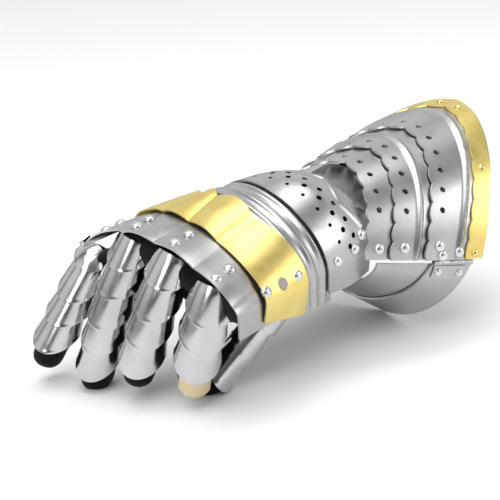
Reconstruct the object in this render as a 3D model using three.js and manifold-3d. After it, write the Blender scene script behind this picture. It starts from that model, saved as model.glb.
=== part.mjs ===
// Armoured gauntlet for the right hand, closed round an empty forearm and resting on its cuff rim and fingertips.
// Millimetres, +Z up, fingers towards -X, thumb towards -Y. The hinged inner cuff is shut.
import * as THREE from 'three';
import * as BufferGeometryUtils from 'three/addons/utils/BufferGeometryUtils.js';
import Module from 'manifold-3d';

const wasm = await Module();
wasm.setup();

const radians = (degrees) => (degrees * Math.PI) / 180;

// ---------------------------------------------------------------- driving dimensions
const STEEL = 1.2; // sheet thickness of every lame
const BRASS = 1.0;
const SCALE_STEEL = 1.0;
const LAYER = 2.4; // step from one cuff lame out to the next
const RIVET = { radius: 3.6, height: 2.4, sink: 0.5, sides: 6 };
const SMALL_RIVET = { radius: 2.6, height: 1.7, sink: 0.5, sides: 6 };

// Outer cuff cone, in its own frame: origin at the rear tip of the crest, X along the forearm, measures at x = 0
const CUFF = {
  tilt: 12.2, // the forearm axis falls towards the rear
  roll: 5.5,
  halfWidth: 71.6,
  widthSlope: 0.12,
  widthBend: -0.0008, // the hourglass draws in towards the wrist
  height: 84.0, // crest above the widest line
  heightSlope: 0.33,
  depth: 70.5, // widest line down to the lowest line
  depthSlope: 0.42,
  centreSlope: 0.04,
  keel: 1.2,
  lowerEdge: 87, // degrees from the crest to the lower edges
  edgePower: 1.5, // how the V of each front edge runs into the sides
};

// Cuff lames: crest station of the front edge, its sweep forwards at the sides, number of scallops on one side, holes
const CUFF_LAMES = [
  { name: 'cuff_front_lame', front: -101.9, sweep: 16, rear: -70, rearSweep: 18, layer: 0, scallops: 6, holes: 4 },
  { name: 'cuff_middle_lame', front: -81.2, sweep: 21, rear: -40, rearSweep: 25, layer: 1, scallops: 7, holes: 5, bead: 17 },
  { name: 'cuff_rear_plate', front: -51.3, sweep: 27.5, rear: 0, rearSweep: 34.7, layer: 2, scallops: 8, holes: 6, beadFromRear: 21 },
];
const SCALLOP = { height: 1.8, steps: 3 };
const BEAD = { height: 1.5, half: 3.0 };
const CUFF_HOLE = { radius: 2.0, back: 7.0 };
const BAND = { width: 12.5, inset: 2.0, gap: 0.35, scallop: 1.3, scallops: 9 };

// Inner cuff under the forearm, hung on the thumb side hinge
const INNER = {
  start: 91, // degrees from the crest where its near and far edges lie
  rear: -33,
  rearHollow: 9.5,
  seam: -69,
  seamHollow: 7,
  front: -108,
  step: 1.7, // the front half lies inside the rear half
  lap: 8,
};
const HINGE = { from: -71, to: -40, angle: -89, offset: 2.4, radius: 1.8, leaf: 0.9, leafFrom: -68, leafTo: -43 };
const CLASP = { from: -66, to: -52, high: 80, low: 101, thickness: 1.2 };

// Hand section, in the hand's own frame: origin over the wrist, distances towards the fingertips
const HAND = {
  position: [-120.6, -1.5, -4.5],
  pitch: 14.4,
  yaw: -3.8,
  roll: 16.5,
};
// Sections along the hand: top line, line of greatest width, half width, shift towards the little finger, palm depth
const HAND_SECTIONS = [
  { s: -40, top: -21, centre: -46, half: 38.5, shift: -5, palm: 20 },
  { s: -16, top: -20.5, centre: -46, half: 39.5, shift: -5, palm: 20 },
  { s: 4, top: -17.5, centre: -46.5, half: 39.0, shift: -5, palm: 21 },
  { s: 18, top: -10.2, centre: -46, half: 40.7, shift: -4.6, palm: 23 },
  { s: 34, top: -2.6, centre: -43.5, half: 44.5, shift: -2.4, palm: 26 },
  { s: 55, top: -1.2, centre: -38.5, half: 48.6, shift: 0, palm: 30 },
  { s: 80, top: 0, centre: -31, half: 52.4, shift: 0, palm: 30 },
  { s: 108, top: 0.3, centre: -22.5, half: 54.7, shift: 0, palm: 30 },
  { s: 136, top: 4.5, centre: -13.5, half: 55.5, shift: -3.6, palm: 30 },
  { s: 160, top: 6, centre: -10, half: 55.5, shift: -4, palm: 30 },
];

// Smooth value of one column of a table at a station
function along(table, column, s) {
  const last = table.length - 1;
  let k = 0;
  while (k < last - 1 && s > table[k + 1].s) k++;
  const slope = (i) => {
    const [a, b] = [table[Math.max(i - 1, 0)], table[Math.min(i + 1, last)]];
    return (b[column] - a[column]) / (b.s - a.s);
  };
  const span = table[k + 1].s - table[k].s;
  const t = Math.min(Math.max((s - table[k].s) / span, 0), 1);
  const [p, q, m, n] = [table[k][column], table[k + 1][column], slope(k) * span, slope(k + 1) * span];
  const u = 1 - t;
  return p * u * u * (1 + 2 * t) + m * t * u * u + q * t * t * (3 - 2 * t) - n * t * t * u;
}
const handHalfWidth = (s) => along(HAND_SECTIONS, 'half', s);
const handTop = (s) => along(HAND_SECTIONS, 'top', s);
const handHeight = (s) => handTop(s) - along(HAND_SECTIONS, 'centre', s);
const handShift = (s) => along(HAND_SECTIONS, 'shift', s);
const handPalm = (s) => along(HAND_SECTIONS, 'palm', s);
const SIDE_DROP = { near: 1.7, far: 1.2 }; // how fast the sides run down past the widest line

// ---------------------------------------------------------------- solids
function solidFrom(geometry) {
  const plain = new THREE.BufferGeometry();
  plain.setAttribute('position', geometry.getAttribute('position').clone());
  if (geometry.index) plain.setIndex(geometry.index.clone());
  const merged = BufferGeometryUtils.mergeVertices(plain, 1e-4);
  const mesh = new wasm.Mesh({
    numProp: 3,
    vertProperties: new Float32Array(merged.getAttribute('position').array),
    triVerts: new Uint32Array(merged.index.array),
  });
  return new wasm.Manifold(mesh);
}

function geometryFrom(solid) {
  const mesh = solid.getMesh();
  const geometry = new THREE.BufferGeometry();
  geometry.setAttribute('position', new THREE.BufferAttribute(new Float32Array(mesh.vertProperties), 3));
  geometry.setIndex(new THREE.BufferAttribute(new Uint32Array(mesh.triVerts), 1));
  return geometry;
}

// A closed sheet between two grids of points: skin(column, row, side) with side 0 outside and 1 inside
function sheetGeometry(columns, rows, skin) {
  const points = [];
  for (const side of [0, 1]) {
    for (let i = 0; i <= columns; i++) {
      for (let j = 0; j <= rows; j++) points.push(...skin(i, j, side));
    }
  }
  const at = (i, j, side) => side * (columns + 1) * (rows + 1) + i * (rows + 1) + j;
  const faces = [];
  const quad = (a, b, c, d) => faces.push(a, b, c, a, c, d);
  for (let i = 0; i < columns; i++) {
    for (let j = 0; j < rows; j++) {
      quad(at(i, j, 0), at(i + 1, j, 0), at(i + 1, j + 1, 0), at(i, j + 1, 0));
      quad(at(i, j, 1), at(i, j + 1, 1), at(i + 1, j + 1, 1), at(i + 1, j, 1));
    }
  }
  for (let i = 0; i < columns; i++) {
    quad(at(i, 0, 0), at(i, 0, 1), at(i + 1, 0, 1), at(i + 1, 0, 0));
    quad(at(i, rows, 0), at(i + 1, rows, 0), at(i + 1, rows, 1), at(i, rows, 1));
  }
  for (let j = 0; j < rows; j++) {
    quad(at(0, j, 0), at(0, j + 1, 0), at(0, j + 1, 1), at(0, j, 1));
    quad(at(columns, j, 0), at(columns, j, 1), at(columns, j + 1, 1), at(columns, j + 1, 0));
  }
  const geometry = new THREE.BufferGeometry();
  geometry.setAttribute('position', new THREE.Float32BufferAttribute(points, 3));
  geometry.setIndex(faces);
  return geometry;
}

// A closed sheet made into a solid that faces outwards, whichever way its grid runs
function sheet(columns, rows, skin) {
  return outwards(sheetGeometry(columns, rows, skin));
}

function outwards(geometry) {
  const position = geometry.getAttribute('position');
  const index = geometry.index.array;
  let volume = 0;
  const [a, b, c] = [new THREE.Vector3(), new THREE.Vector3(), new THREE.Vector3()];
  for (let i = 0; i < index.length; i += 3) {
    a.fromBufferAttribute(position, index[i]);
    b.fromBufferAttribute(position, index[i + 1]);
    c.fromBufferAttribute(position, index[i + 2]);
    volume += a.dot(b.cross(c));
  }
  if (volume < 0) {
    for (let i = 0; i < index.length; i += 3) [index[i], index[i + 1]] = [index[i + 1], index[i]];
  }
  return solidFrom(geometry);
}

// Turns a lathe made along +Y so that it stands along the normal at a point
function standOn(geometry, point, normal) {
  const turn = new THREE.Quaternion().setFromUnitVectors(new THREE.Vector3(0, 1, 0), normal);
  geometry.applyQuaternion(turn);
  geometry.translate(point.x, point.y, point.z);
  return geometry;
}

function dome(size, point, normal) {
  const { radius, height, sink, sides } = size;
  const profile = [
    new THREE.Vector2(0, -sink),
    new THREE.Vector2(radius, -sink),
    new THREE.Vector2(radius, 0.25 * height),
    new THREE.Vector2(0.6 * radius, 0.85 * height),
    new THREE.Vector2(0, height),
  ];
  return solidFrom(standOn(new THREE.LatheGeometry(profile, sides), point, normal));
}

function punch(radius, point, normal, reach = 4) {
  const geometry = new THREE.CylinderGeometry(radius, radius, 2 * reach, 6);
  return solidFrom(standOn(geometry, point, normal));
}

// A point and outward normal on a surface given as surface(angle, station, offset)
function spot(surface, angle, station, offset) {
  const point = surface(angle, station, offset);
  const alongAngle = surface(angle + 0.5, station, offset).sub(surface(angle - 0.5, station, offset));
  const alongStation = surface(angle, station + 0.5, offset).sub(surface(angle, station - 0.5, offset));
  const normal = alongAngle.cross(alongStation).normalize();
  if (normal.dot(surface(angle, station, offset + 1).sub(point)) < 0) normal.negate();
  return { point, normal };
}

function withRivets(solid, surface, offset, places, size = RIVET) {
  for (const [angle, station] of places) {
    const { point, normal } = spot(surface, angle, station, offset);
    solid = solid.add(dome(size, point, normal));
  }
  return solid;
}

function withHoles(solid, surface, offset, places, radius) {
  const tools = places.map(([angle, station]) => {
    const { point, normal } = spot(surface, angle, station, offset);
    return punch(radius, point, normal);
  });
  return tools.reduce((rest, tool) => rest.subtract(tool), solid);
}

// ---------------------------------------------------------------- cuff
function cuffPoint(angle, x, offset) {
  const phi = radians(angle);
  const sine = Math.sin(phi);
  const cosine = Math.cos(phi);
  const rise = cosine > 0 ? CUFF.height + CUFF.heightSlope * x : CUFF.depth + CUFF.depthSlope * x;
  const keel = cosine > 0 ? CUFF.keel * (1 - Math.abs(sine)) ** 2 : 0;
  const centre = -CUFF.height - CUFF.keel + CUFF.centreSlope * x;
  return new THREE.Vector3(
    x,
    (CUFF.halfWidth + CUFF.widthSlope * x + CUFF.widthBend * x * x + offset) * sine,
    centre + (rise + offset) * cosine + keel,
  );
}

const sweepAt = (angle) => Math.sin(Math.min(Math.abs(radians(angle)), Math.PI / 2)) ** CUFF.edgePower;

const scallopAt = (angle, count, height) => {
  const place = (Math.abs(angle) / CUFF.lowerEdge) * count;
  const within = place - Math.floor(Math.min(place, count - 1e-6));
  return height * (1 - (2 * within - 1) ** 2);
};

const frontOf = (lame, angle) => lame.front - lame.sweep * sweepAt(angle);
const rearOf = (lame, angle) => lame.rear - lame.rearSweep * sweepAt(angle);

function lameRows(lame, angle) {
  const front = frontOf(lame, angle);
  const rear = rearOf(lame, angle);
  const rows = [[front - scallopAt(angle, lame.scallops, SCALLOP.height), 0]];
  const bead = lame.bead ? front + lame.bead : rear - (lame.beadFromRear ?? 0);
  if (lame.bead || lame.beadFromRear) {
    for (const step of [-1, 0, 1]) rows.push([bead + step * BEAD.half, step === 0 ? BEAD.height : 0]);
  }
  rows.push([rear, 0]);
  return rows;
}

function cuffLame(lame) {
  const columns = 2 * lame.scallops * SCALLOP.steps;
  const rows = lame.bead || lame.beadFromRear ? 4 : 1;
  const offset = lame.layer * LAYER;
  let solid = sheet(columns, rows, (i, j, side) => {
    const angle = CUFF.lowerEdge * ((2 * i) / columns - 1);
    const [x, raise] = lameRows(lame, angle)[j];
    return cuffPoint(angle, x, offset + raise - side * STEEL);
  });
  const holes = [];
  for (let k = 0; k < lame.holes; k++) {
    const angle = (CUFF.lowerEdge * (k + 0.5)) / lame.scallops;
    for (const side of [-1, 1]) holes.push([side * angle, frontOf(lame, angle) + CUFF_HOLE.back]);
  }
  solid = withHoles(solid, cuffPoint, offset, holes, CUFF_HOLE.radius);
  return withRivets(solid, cuffPoint, offset, cuffRivets(lame));
}

function cuffRivets(lame) {
  const places = [];
  for (const side of [-1, 1]) {
    const low = side * (CUFF.lowerEdge - 8);
    places.push([low, frontOf(lame, low) + 8]);
    if (lame.layer === 2) {
      places.push([side * (CUFF.lowerEdge - 2.6), frontOf(lame, low) + 11]);
      places.push([side * (CUFF.lowerEdge - 4), rearOf(lame, low) - BAND.inset - BAND.width - 6]);
    }
  }
  return places;
}

function brassBand() {
  const rear = CUFF_LAMES[2];
  const columns = 2 * BAND.scallops * 2;
  const offset = 2 * LAYER + BAND.gap + BRASS;
  const end = CUFF.lowerEdge - 0.3;
  let solid = sheet(columns, 1, (i, j, side) => {
    const angle = end * ((2 * i) / columns - 1);
    const edge = rearOf(rear, angle) - BAND.inset;
    const x = j ? edge : edge - BAND.width - scallopAt(angle, BAND.scallops, BAND.scallop);
    return cuffPoint(angle, x, offset - side * BRASS);
  });
  const places = [];
  for (const angle of [6, 44, 84]) {
    for (const side of [-1, 1]) places.push([side * angle, rearOf(rear, angle) - BAND.inset - 0.5 * BAND.width]);
  }
  return withRivets(solid, cuffPoint, offset, places, SMALL_RIVET);
}

// Angles past the lower edges run on under the forearm, measured here from its lowest line
const fromBottom = (angle) => radians(Math.abs(180 - Math.abs(angle)));
const innerRear = (angle) => INNER.rear - INNER.rearHollow * Math.sin(1.7 * fromBottom(angle));
const innerSeam = (angle) => INNER.seam - INNER.seamHollow * Math.sin(2 * fromBottom(angle));

function innerPlate(from, to, offset, columns) {
  const [low, high] = [INNER.start, 360 - INNER.start];
  return sheet(columns, 2, (i, j, side) => {
    const angle = low + ((high - low) * i) / columns;
    const [a, b] = [from(angle), to(angle)];
    return cuffPoint(angle, a + ((b - a) * j) / 2, offset - side * STEEL);
  });
}

function hingeBarrel() {
  const [from, to] = [cuffPoint(HINGE.angle, HINGE.from, HINGE.offset), cuffPoint(HINGE.angle, HINGE.to, HINGE.offset)];
  const geometry = new THREE.CylinderGeometry(HINGE.radius, HINGE.radius, from.distanceTo(to), 8);
  const middle = from.clone().add(to).multiplyScalar(0.5);
  return solidFrom(standOn(geometry, middle, to.clone().sub(from).normalize()));
}

function hingeLeaf() {
  const outer = 0.2 + 0.35 + HINGE.leaf;
  const leaf = sheet(4, 1, (i, j, side) => {
    const angle = -(INNER.start + 0.8 + 2.7 * i);
    return cuffPoint(angle, j ? HINGE.leafTo : HINGE.leafFrom, outer - side * HINGE.leaf);
  });
  return withRivets(leaf, cuffPoint, outer, [[-97.5, -64], [-97.5, -47]], SMALL_RIVET);
}

// Plain tab on the far side that closes the inner cuff over the outer one
function clasp() {
  const outside = 2 * LAYER + 3.0 + CLASP.thickness;
  const inside = 0.2 + 0.4 + CLASP.thickness;
  const columns = 7;
  return sheet(columns, 1, (i, j, side) => {
    const angle = CLASP.high + ((CLASP.low - CLASP.high) * i) / columns;
    const fall = Math.min(Math.max((angle - 88) / 6, 0), 1);
    const offset = outside + (inside - outside) * fall;
    return cuffPoint(angle, j ? CLASP.to : CLASP.from, offset - side * CLASP.thickness);
  });
}

// ---------------------------------------------------------------- hand
function handPoint(angle, s, offset) {
  const phi = radians(angle);
  const past = Math.max(Math.abs(phi) - Math.PI / 2, 0);
  const side = Math.sign(phi);
  const inside = Math.min(Math.abs(phi), Math.PI / 2);
  const drop = past * (angle < 0 ? SIDE_DROP.near : SIDE_DROP.far);
  const height = handHeight(s) + offset;
  return new THREE.Vector3(
    -s,
    handShift(s) + side * (handHalfWidth(s) + offset) * Math.sin(inside),
    handTop(s) + offset - height * (1 - Math.cos(inside) + drop),
  );
}

function handSheet(columns, stations, offset, thickness, near, far, lift = () => 0) {
  return sheet(columns, stations(0).length - 1, (i, j, side) => {
    const angle = near + ((far - near) * i) / columns;
    const s = stations(angle)[j];
    return handPoint(angle, s, offset + lift(angle, s, j) - side * thickness);
  });
}

const HAND_LAYER = { wrist: -2.1, hand: 0, fluted: -2.1, brass: 0, knuckle: -1.7, glove: -4.2 };

// Rear edge of the pierced plate: a shallow V over the back of the wrist that runs back along the sides
function handRear(angle) {
  const reach = Math.abs(angle);
  if (reach < 34) return 13 + (9 * reach) / 34;
  return reach < 69 ? 22 - (10 * (reach - 34)) / 35 : 12 + (5 * (reach - 69)) / 35;
}

function wristPlate() {
  const stations = (angle) => [handRear(angle) + 8, handRear(angle) - 4, -2, -14];
  return handSheet(20, stations, HAND_LAYER.wrist, STEEL, -92, 92);
}

// Holes across the back of the hand: first row, second row and a row of smaller ones
const HAND_HOLES = [
  { s: 30.5, first: -64, last: 64, radius: 1.8 },
  { s: 36.5, first: -72, last: 72, radius: 1.8 },
  { s: 43.5, first: -64, last: 64, radius: 1.3 },
];
const holeStation = (row, angle) => row.s + (7 * angle) / 90 + (3 * Math.abs(angle)) / 90;

function handPlate() {
  const ridge = (angle, s, j) => (j === 1 ? 1.1 * Math.max(1 - (angle / 70) ** 2, 0) : 0);
  const stations = (angle) => {
    const rear = handRear(angle);
    return [rear, rear + 2.6, rear + 5.2, 38, 55];
  };
  let solid = handSheet(26, stations, HAND_LAYER.hand, STEEL, -104, 96, ridge);
  for (const row of HAND_HOLES) {
    const places = [];
    for (let angle = row.first; angle <= row.last; angle += 16) places.push([angle, holeStation(row, angle)]);
    solid = withHoles(solid, handPoint, 0, places, row.radius);
  }
  const rivets = [];
  for (const side of [-1, 1]) rivets.push([side * 66.5, 21], [side * 77, 30], [side * 80, 46]);
  return withRivets(solid, handPoint, 0, rivets);
}

const FLUTES = [51, 55.5, 58.5, 61.5, 64, 67, 70, 72, 74.5, 77, 86]; // base and top stations of the three ridges
const FLUTE_TOPS = [2, 5, 8];
const FLUTE_HEIGHT = 1.5;

function flutedLame() {
  const lift = (angle, s, j) => (FLUTE_TOPS.includes(j) ? FLUTE_HEIGHT : 0);
  return handSheet(16, () => FLUTES, HAND_LAYER.fluted, STEEL, -112, 96, lift);
}

// Lobes of the brass and knuckle plates lie between creases, given as angles at the rear and front edges
const BRASS_CREASES = { rear: [-112, -10, 25, 42, 92], front: [-112, -13, 14.5, 41.5, 92], steps: [9, 4, 3, 5] };
const KNUCKLE_CREASES = {
  rear: [-116, -58, -16, 13, 44, 92],
  front: [-127, -67, -19, 15, 46, 92],
  steps: [4, 4, 4, 4, 4],
};
const lerp = (a, b, t) => a + (b - a) * t;

// Columns of a lobed plate: for each one its lobe and its place within the lobe
function lobeColumns(creases) {
  const columns = [];
  creases.steps.forEach((steps, lobe) => {
    for (let k = 0; k < steps; k++) columns.push({ lobe, within: k / steps });
  });
  columns.push({ lobe: creases.steps.length - 1, within: 1 });
  return columns;
}

function lobedPlate(creases, rows, offset, thickness, shape) {
  const columns = lobeColumns(creases);
  return sheet(columns.length - 1, rows, (i, j, side) => {
    const { lobe, within } = columns[i];
    const t = j / rows;
    const low = lerp(creases.rear[lobe], creases.front[lobe], t);
    const high = lerp(creases.rear[lobe + 1], creases.front[lobe + 1], t);
    const angle = lerp(low, high, within);
    const { rear, front, lift } = shape(angle, within, lobe, t);
    return handPoint(angle, lerp(rear, front, t), offset + lift - side * thickness);
  });
}

const bowed = (within) => 1 - (2 * within - 1) ** 2;
const FAR_REACH = { brass: 8, knuckle: 14 }; // how much further forwards the plates reach over the little finger
const farSide = (angle) => Math.max((angle - 50) / 42, 0);

function brassPlate() {
  const solid = lobedPlate(BRASS_CREASES, 2, HAND_LAYER.brass, BRASS, (angle, within) => ({
    rear: 80 - 4 * bowed(within),
    front: 109 + (4 * Math.abs(angle)) / 90 + FAR_REACH.brass * farSide(angle),
    lift: 2.2 * bowed(within),
  }));
  const domed = withRivets(solid, handPoint, 1.0, [[-70, 83], [-70, 109]]);
  return withRivets(domed, handPoint, 1.2, [[-70, 96]], { radius: 4.4, height: 1.2, sink: 0.6, sides: 8 });
}

function knucklePlate() {
  const solid = lobedPlate(KNUCKLE_CREASES, 2, HAND_LAYER.knuckle, STEEL, (angle, within, lobe, t) => ({
    rear: 102,
    front: 136 + (5 * Math.abs(angle)) / 90 + (6 * angle) / 90 + FAR_REACH.knuckle * farSide(angle),
    lift: (lobe ? 1.8 : 0.8) * bowed(within) * (0.2 + 0.8 * t),
  }));
  const places = [[-36, 119], [-37, 131], [4, 118], [4, 130], [41, 123], [40, 134], [71, 134], [70, 145]];
  return withRivets(solid, handPoint, HAND_LAYER.knuckle + 1.0, places);
}

// ---------------------------------------------------------------- fingers
// Back line of each finger: a point on it at the station `anchor`, its angle down, splay, curl per millimetre, roll,
// extra bend per millimetre before the anchor, half width, lead of each rounded end, and stations of the scale ends
const FINGERS = {
  index: {
    base: [-134.0, -37.3, -12.6], anchor: 0, down: 55.8, splay: 11.2, curl: 0.31, roll: 37, bend: 2.0, start: -5,
    radius: 14.2, bulge: 10.6, ends: [20.4, 37.4, 55.3],
  },
  middle: {
    base: [-140.4, -3.5, -2.9], anchor: 0, down: 51.5, splay: 5.0, curl: 0.23, roll: 22.3, bend: 2.0, start: -5,
    radius: 13.8, bulge: 11.5, ends: [18.0, 38.8, 56.7, 75.7],
  },
  ring: {
    base: [-145.5, 27.2, -2.6], anchor: 0, down: 52.8, splay: 2.4, curl: 0.18, roll: 14.2, bend: 2.0, start: -2,
    radius: 13.6, bulge: 12.7, ends: [19.3, 37.8, 58.5, 76.1, 94.0],
  },
  pinky: {
    base: [-163.8, 52.6, -28.6], anchor: 20, down: 47.5, splay: -1.8, curl: 0.05, roll: 19.5, bend: 2.4, start: 1,
    radius: 13.3, bulge: 14, ends: [20.2, 42.6, 59.5, 77.8],
  },
  thumb: {
    base: [-82.0, -46.0, -45.0], anchor: 0, down: 35, splay: -7, curl: 0.05, roll: 80, bend: 1.0, start: -4,
    radius: 11.5, bulge: 7, ends: [24, 46, 68],
  },
};

function fingerAxes(finger, t) {
  const down = radians(finger.down + finger.curl * Math.max(t, 0) + finger.bend * Math.min(t - finger.anchor, 0));
  const splay = radians(finger.splay);
  const along = new THREE.Vector3(-Math.cos(down) * Math.cos(splay), -Math.cos(down) * Math.sin(splay), -Math.sin(down));
  const across = new THREE.Vector3(-Math.sin(splay), Math.cos(splay), 0);
  const up = new THREE.Vector3().crossVectors(across, along);
  across.applyAxisAngle(along, -radians(finger.roll));
  up.applyAxisAngle(along, -radians(finger.roll));
  return { along, across, up };
}

function fingerSpine(finger, t) {
  const point = new THREE.Vector3(...finger.base);
  const run = t - finger.anchor;
  const steps = Math.max(2, Math.ceil(Math.abs(run) / 2));
  for (let k = 0; k < steps; k++) {
    const middle = finger.anchor + (run * (k + 0.5)) / steps;
    point.addScaledVector(fingerAxes(finger, middle).along, run / steps);
  }
  return point;
}

const SCALE_REACH = 102; // how far a scale wraps round each side of a finger, in degrees

function fingerScale(finger, k) {
  const front = finger.ends[k];
  const rear = k ? finger.ends[k - 1] - 9 : finger.start;
  const columns = 8;
  const rows = k ? 2 : 4;
  return sheet(columns, rows, (i, j, side) => {
    const t = rear + ((front - rear) * j) / rows;
    const theta = radians(SCALE_REACH) * ((2 * i) / columns - 1);
    const { along, across, up } = fingerAxes(finger, t);
    const lower = (k ? 2.4 : 1.8) * (1 - j / rows);
    const radius = finger.radius - lower - side * SCALE_STEEL;
    const point = fingerSpine(finger, t).addScaledVector(up, -finger.radius);
    point.addScaledVector(across, radius * Math.sin(theta)).addScaledVector(up, radius * Math.cos(theta));
    return point.addScaledVector(along, -finger.bulge * (j / rows) * (1 - Math.cos(theta)));
  });
}

// Small pale plate that ends the index finger under its last scale
function indexTip() {
  const finger = FINGERS.index;
  return sheet(6, 2, (i, j, side) => {
    const theta = radians(50) * (i / 3 - 1);
    const t = 50 + 8 * j;
    const { along, across, up } = fingerAxes(finger, t);
    const radius = finger.radius - 2.0 - side * SCALE_STEEL;
    const point = fingerSpine(finger, t).addScaledVector(up, -finger.radius);
    point.addScaledVector(across, radius * Math.sin(theta)).addScaledVector(up, radius * Math.cos(theta));
    return point.addScaledVector(along, -finger.bulge * (j / 2) * (1 - Math.cos(theta)));
  });
}

const GLOVE_WALL = 1.6;

// Closed tube round a finger: side 0 is the outside, deeper at the palm than at the back
function fingerBody(finger, inset, from, to, sides = 10, cover = 0) {
  const points = [];
  const stations = [];
  const length = to - from;
  const count = 4;
  for (let j = 0; j <= count; j++) stations.push([from + ((length - 9) * j) / count, 1]);
  stations.push([to - 4, 0.86], [to - 1.2, 0.55]);
  for (const [t, shrink] of stations) {
    const held = Math.max(t, 0);
    const { along, across, up } = fingerAxes(finger, held);
    const spine = fingerSpine(finger, held).addScaledVector(along, t - held).addScaledVector(up, -finger.radius);
    const half = (finger.radius - 3.8) * shrink - inset + cover;
    const back = (finger.radius - 3.8) * shrink - inset + cover;
    const palm = (finger.radius + 1.5) * shrink - inset;
    for (let i = 0; i < sides; i++) {
      const theta = (2 * Math.PI * i) / sides;
      const depth = Math.cos(theta) > 0 ? back : palm;
      const point = spine.clone().addScaledVector(across, half * Math.sin(theta)).addScaledVector(up, depth * Math.cos(theta));
      points.push(point);
    }
  }
  return hull(points, sides, stations.length);
}

// Closes rings of points into one solid with flat fans at both ends
function hull(points, sides, rings) {
  const values = [];
  for (const point of points) values.push(point.x, point.y, point.z);
  const faces = [];
  for (let j = 0; j + 1 < rings; j++) {
    for (let i = 0; i < sides; i++) {
      const [a, b] = [j * sides + i, j * sides + ((i + 1) % sides)];
      faces.push(a, b, b + sides, a, b + sides, a + sides);
    }
  }
  for (const [ring, turn] of [[0, 1], [rings - 1, 0]]) {
    const centre = new THREE.Vector3();
    for (let i = 0; i < sides; i++) centre.addScaledVector(points[ring * sides + i], 1 / sides);
    const middle = values.length / 3;
    values.push(centre.x, centre.y, centre.z);
    for (let i = 0; i < sides; i++) {
      const [a, b] = [ring * sides + i, ring * sides + ((i + 1) % sides)];
      if (turn) faces.push(middle, b, a);
      else faces.push(middle, a, b);
    }
  }
  const geometry = new THREE.BufferGeometry();
  geometry.setAttribute('position', new THREE.Float32BufferAttribute(values, 3));
  geometry.setIndex(faces);
  return outwards(geometry);
}

// ---------------------------------------------------------------- glove hand
function handBody(inset, from, to, sides = 20) {
  const stations = [];
  const count = 6;
  for (let j = 0; j <= count; j++) stations.push([from + ((to - 9 - from) * j) / count, 0]);
  stations.push([to - 4, 3], [to - 1, 8]);
  const points = [];
  for (const [s, shrink] of stations) {
    const offset = HAND_LAYER.glove - inset - shrink - 2 * Math.min(Math.max((45 - s) / 15, 0), 1);
    const palm = handPalm(s) - inset - shrink;
    for (let i = 0; i < sides; i++) {
      const theta = (2 * Math.PI * i) / sides;
      const half = handHalfWidth(s) + offset;
      const centre = handTop(s) - handHeight(s);
      const depth = Math.cos(theta) > 0 ? handHeight(s) + offset : palm;
      points.push(new THREE.Vector3(-s, handShift(s) - half * Math.sin(theta), centre + depth * Math.cos(theta)));
    }
  }
  return hull(points, sides, stations.length);
}

// ---------------------------------------------------------------- assembly
const MATERIALS = {
  steel: { color: 0xb9bcc2, metalness: 1, roughness: 0.25 },
  brass: { color: 0xd9b84a, metalness: 1, roughness: 0.32 },
  pale: { color: 0xcdb98a, metalness: 1, roughness: 0.3 },
  glove: { color: 0x17171a, metalness: 0, roughness: 0.95 },
};

function part(name, solid, material) {
  const geometry = geometryFrom(solid);
  const mesh = new THREE.Mesh(geometry, new THREE.MeshStandardMaterial({ ...MATERIALS[material] }));
  mesh.name = name;
  return mesh;
}

const cuff = new THREE.Group();
cuff.rotation.set(radians(CUFF.roll), radians(CUFF.tilt), 0, 'ZYX');
for (const lame of CUFF_LAMES) cuff.add(part(lame.name, cuffLame(lame), 'steel'));
cuff.add(part('cuff_brass_band', brassBand(), 'brass'));
cuff.add(part('inner_cuff_rear', innerPlate(innerSeam, innerRear, 0.2, 24), 'steel'));
const frontEnd = (angle) => innerSeam(angle) + INNER.lap;
cuff.add(part('inner_cuff_front', innerPlate(() => INNER.front, frontEnd, 0.2 - INNER.step, 20), 'steel'));
cuff.add(part('hinge_barrel', hingeBarrel(), 'steel'));
cuff.add(part('hinge_leaf', hingeLeaf(), 'steel'));
cuff.add(part('clasp', clasp(), 'steel'));
cuff.updateMatrixWorld(true);
const floor = new THREE.Box3().setFromObject(cuff, true).min.z;

const hand = new THREE.Group();
hand.position.set(...HAND.position);
hand.rotation.set(radians(HAND.roll), radians(-HAND.pitch), radians(HAND.yaw), 'ZYX');
hand.updateMatrixWorld(true);
hand.add(part('wrist_plate', wristPlate(), 'steel'));
hand.add(part('hand_plate', handPlate(), 'steel'));
hand.add(part('fluted_lame', flutedLame(), 'steel'));
hand.add(part('brass_plate', brassPlate(), 'brass'));
hand.add(part('knuckle_plate', knucklePlate(), 'steel'));
for (const [name, finger] of Object.entries(FINGERS)) {
  finger.ends.forEach((end, k) => hand.add(part(`${name}_scale_${k + 1}`, fingerScale(finger, k), 'steel')));
}

hand.add(part('index_tip', indexTip(), 'pale'));

// Everything below the surface that the gauntlet rests on, seen from the hand's own frame
const groundGeometry = new THREE.BoxGeometry(800, 800, 60).translate(-200, 0, floor - 30);
const ground = solidFrom(groundGeometry.applyMatrix4(hand.matrixWorld.clone().invert()));
const largest = (solid) => solid.decompose().sort((a, b) => b.volume() - a.volume())[0];

const handBore = handBody(GLOVE_WALL, -50, 130);
let gloveHand = handBody(0, -34, 132).subtract(handBore);
for (const [name, finger] of Object.entries(FINGERS)) {
  const last = finger.ends[finger.ends.length - 1];
  const bore = fingerBody(finger, GLOVE_WALL, -10, last + 10);
  gloveHand = gloveHand.subtract(fingerBody(finger, -0.35, -9, last, 10, 4.2));
  const tube = fingerBody(finger, 0, -3, last + 12).subtract(bore).subtract(ground);
  hand.add(part(`glove_${name}`, largest(tube), 'glove'));
}
hand.add(part('glove_hand', largest(gloveHand), 'glove'));

const gauntlet = new THREE.Group();
gauntlet.name = 'gauntlet';
gauntlet.add(cuff, hand);
gauntlet.updateMatrixWorld(true);
const box = new THREE.Box3().setFromObject(gauntlet, true);
gauntlet.position.set(-(box.min.x + box.max.x) / 2, -(box.min.y + box.max.y) / 2, -box.min.z);

export default gauntlet;
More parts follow.
